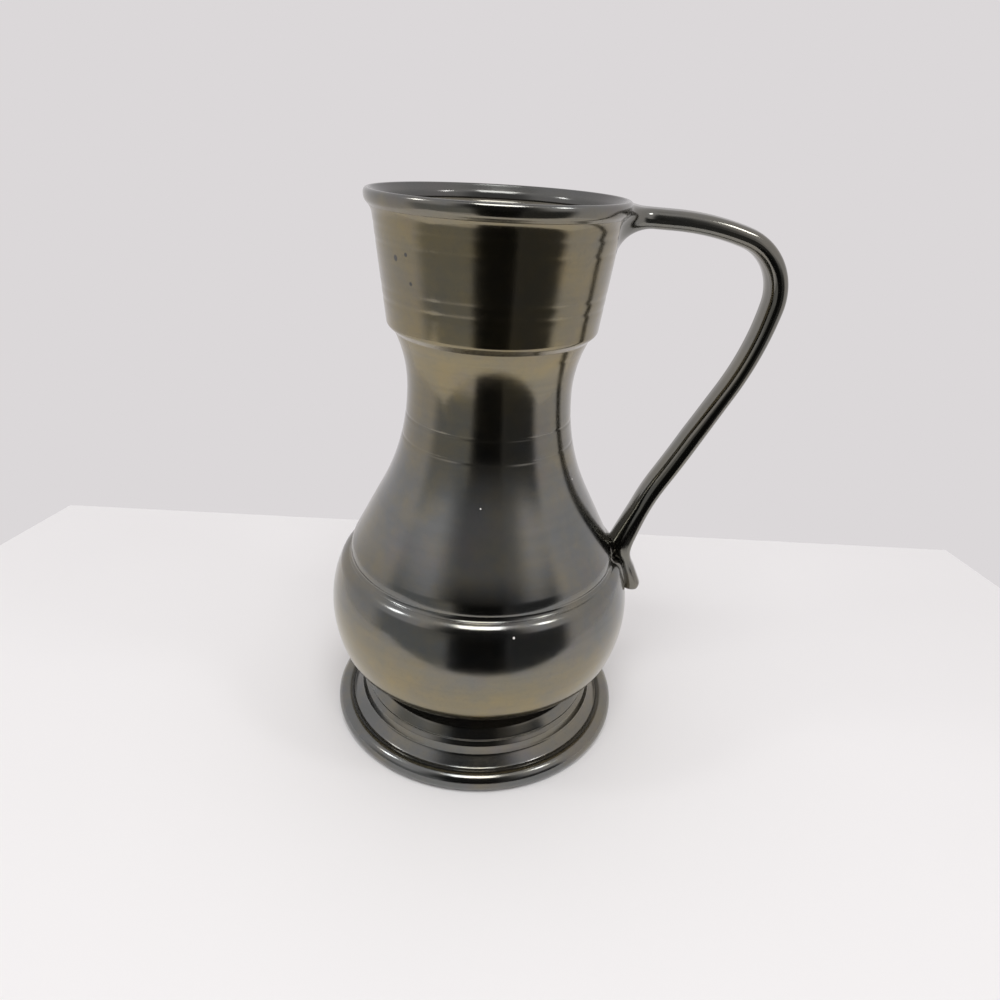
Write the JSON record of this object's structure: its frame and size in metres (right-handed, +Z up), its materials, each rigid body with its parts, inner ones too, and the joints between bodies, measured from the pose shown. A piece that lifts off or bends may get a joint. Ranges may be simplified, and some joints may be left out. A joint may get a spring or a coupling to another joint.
{
  "type": "pitcher",
  "caption": "Bell-necked glazed ceramic pitcher on a pedestal foot, with a wide collared mouth, a rolled rim and a strap handle, for pouring and display.",
  "frame": {"origin": "on the jug's axis, in the plane of the table that it stands on", "axes": "+Z up along the jug's axis, +X from the axis towards the handle"},
  "size_m": [0.1968, 0.1452, 0.2503],
  "materials": {
    "body_glaze": "gunmetal lustre glaze with bronze mottling",
    "rim_glaze": "gunmetal lustre glaze, worn bright on the roll",
    "handle_glaze": "gunmetal lustre glaze with small chips"
  },
  "bodies": {
    "root": {"foot_ring": "body_glaze", "bowl": "body_glaze", "neck": "body_glaze", "collar": "body_glaze", "rim_roll": "rim_glaze", "handle_strap": "handle_glaze", "upper_handle_root": "handle_glaze", "lower_handle_pad": "handle_glaze"}
  },
  "joints": []
}
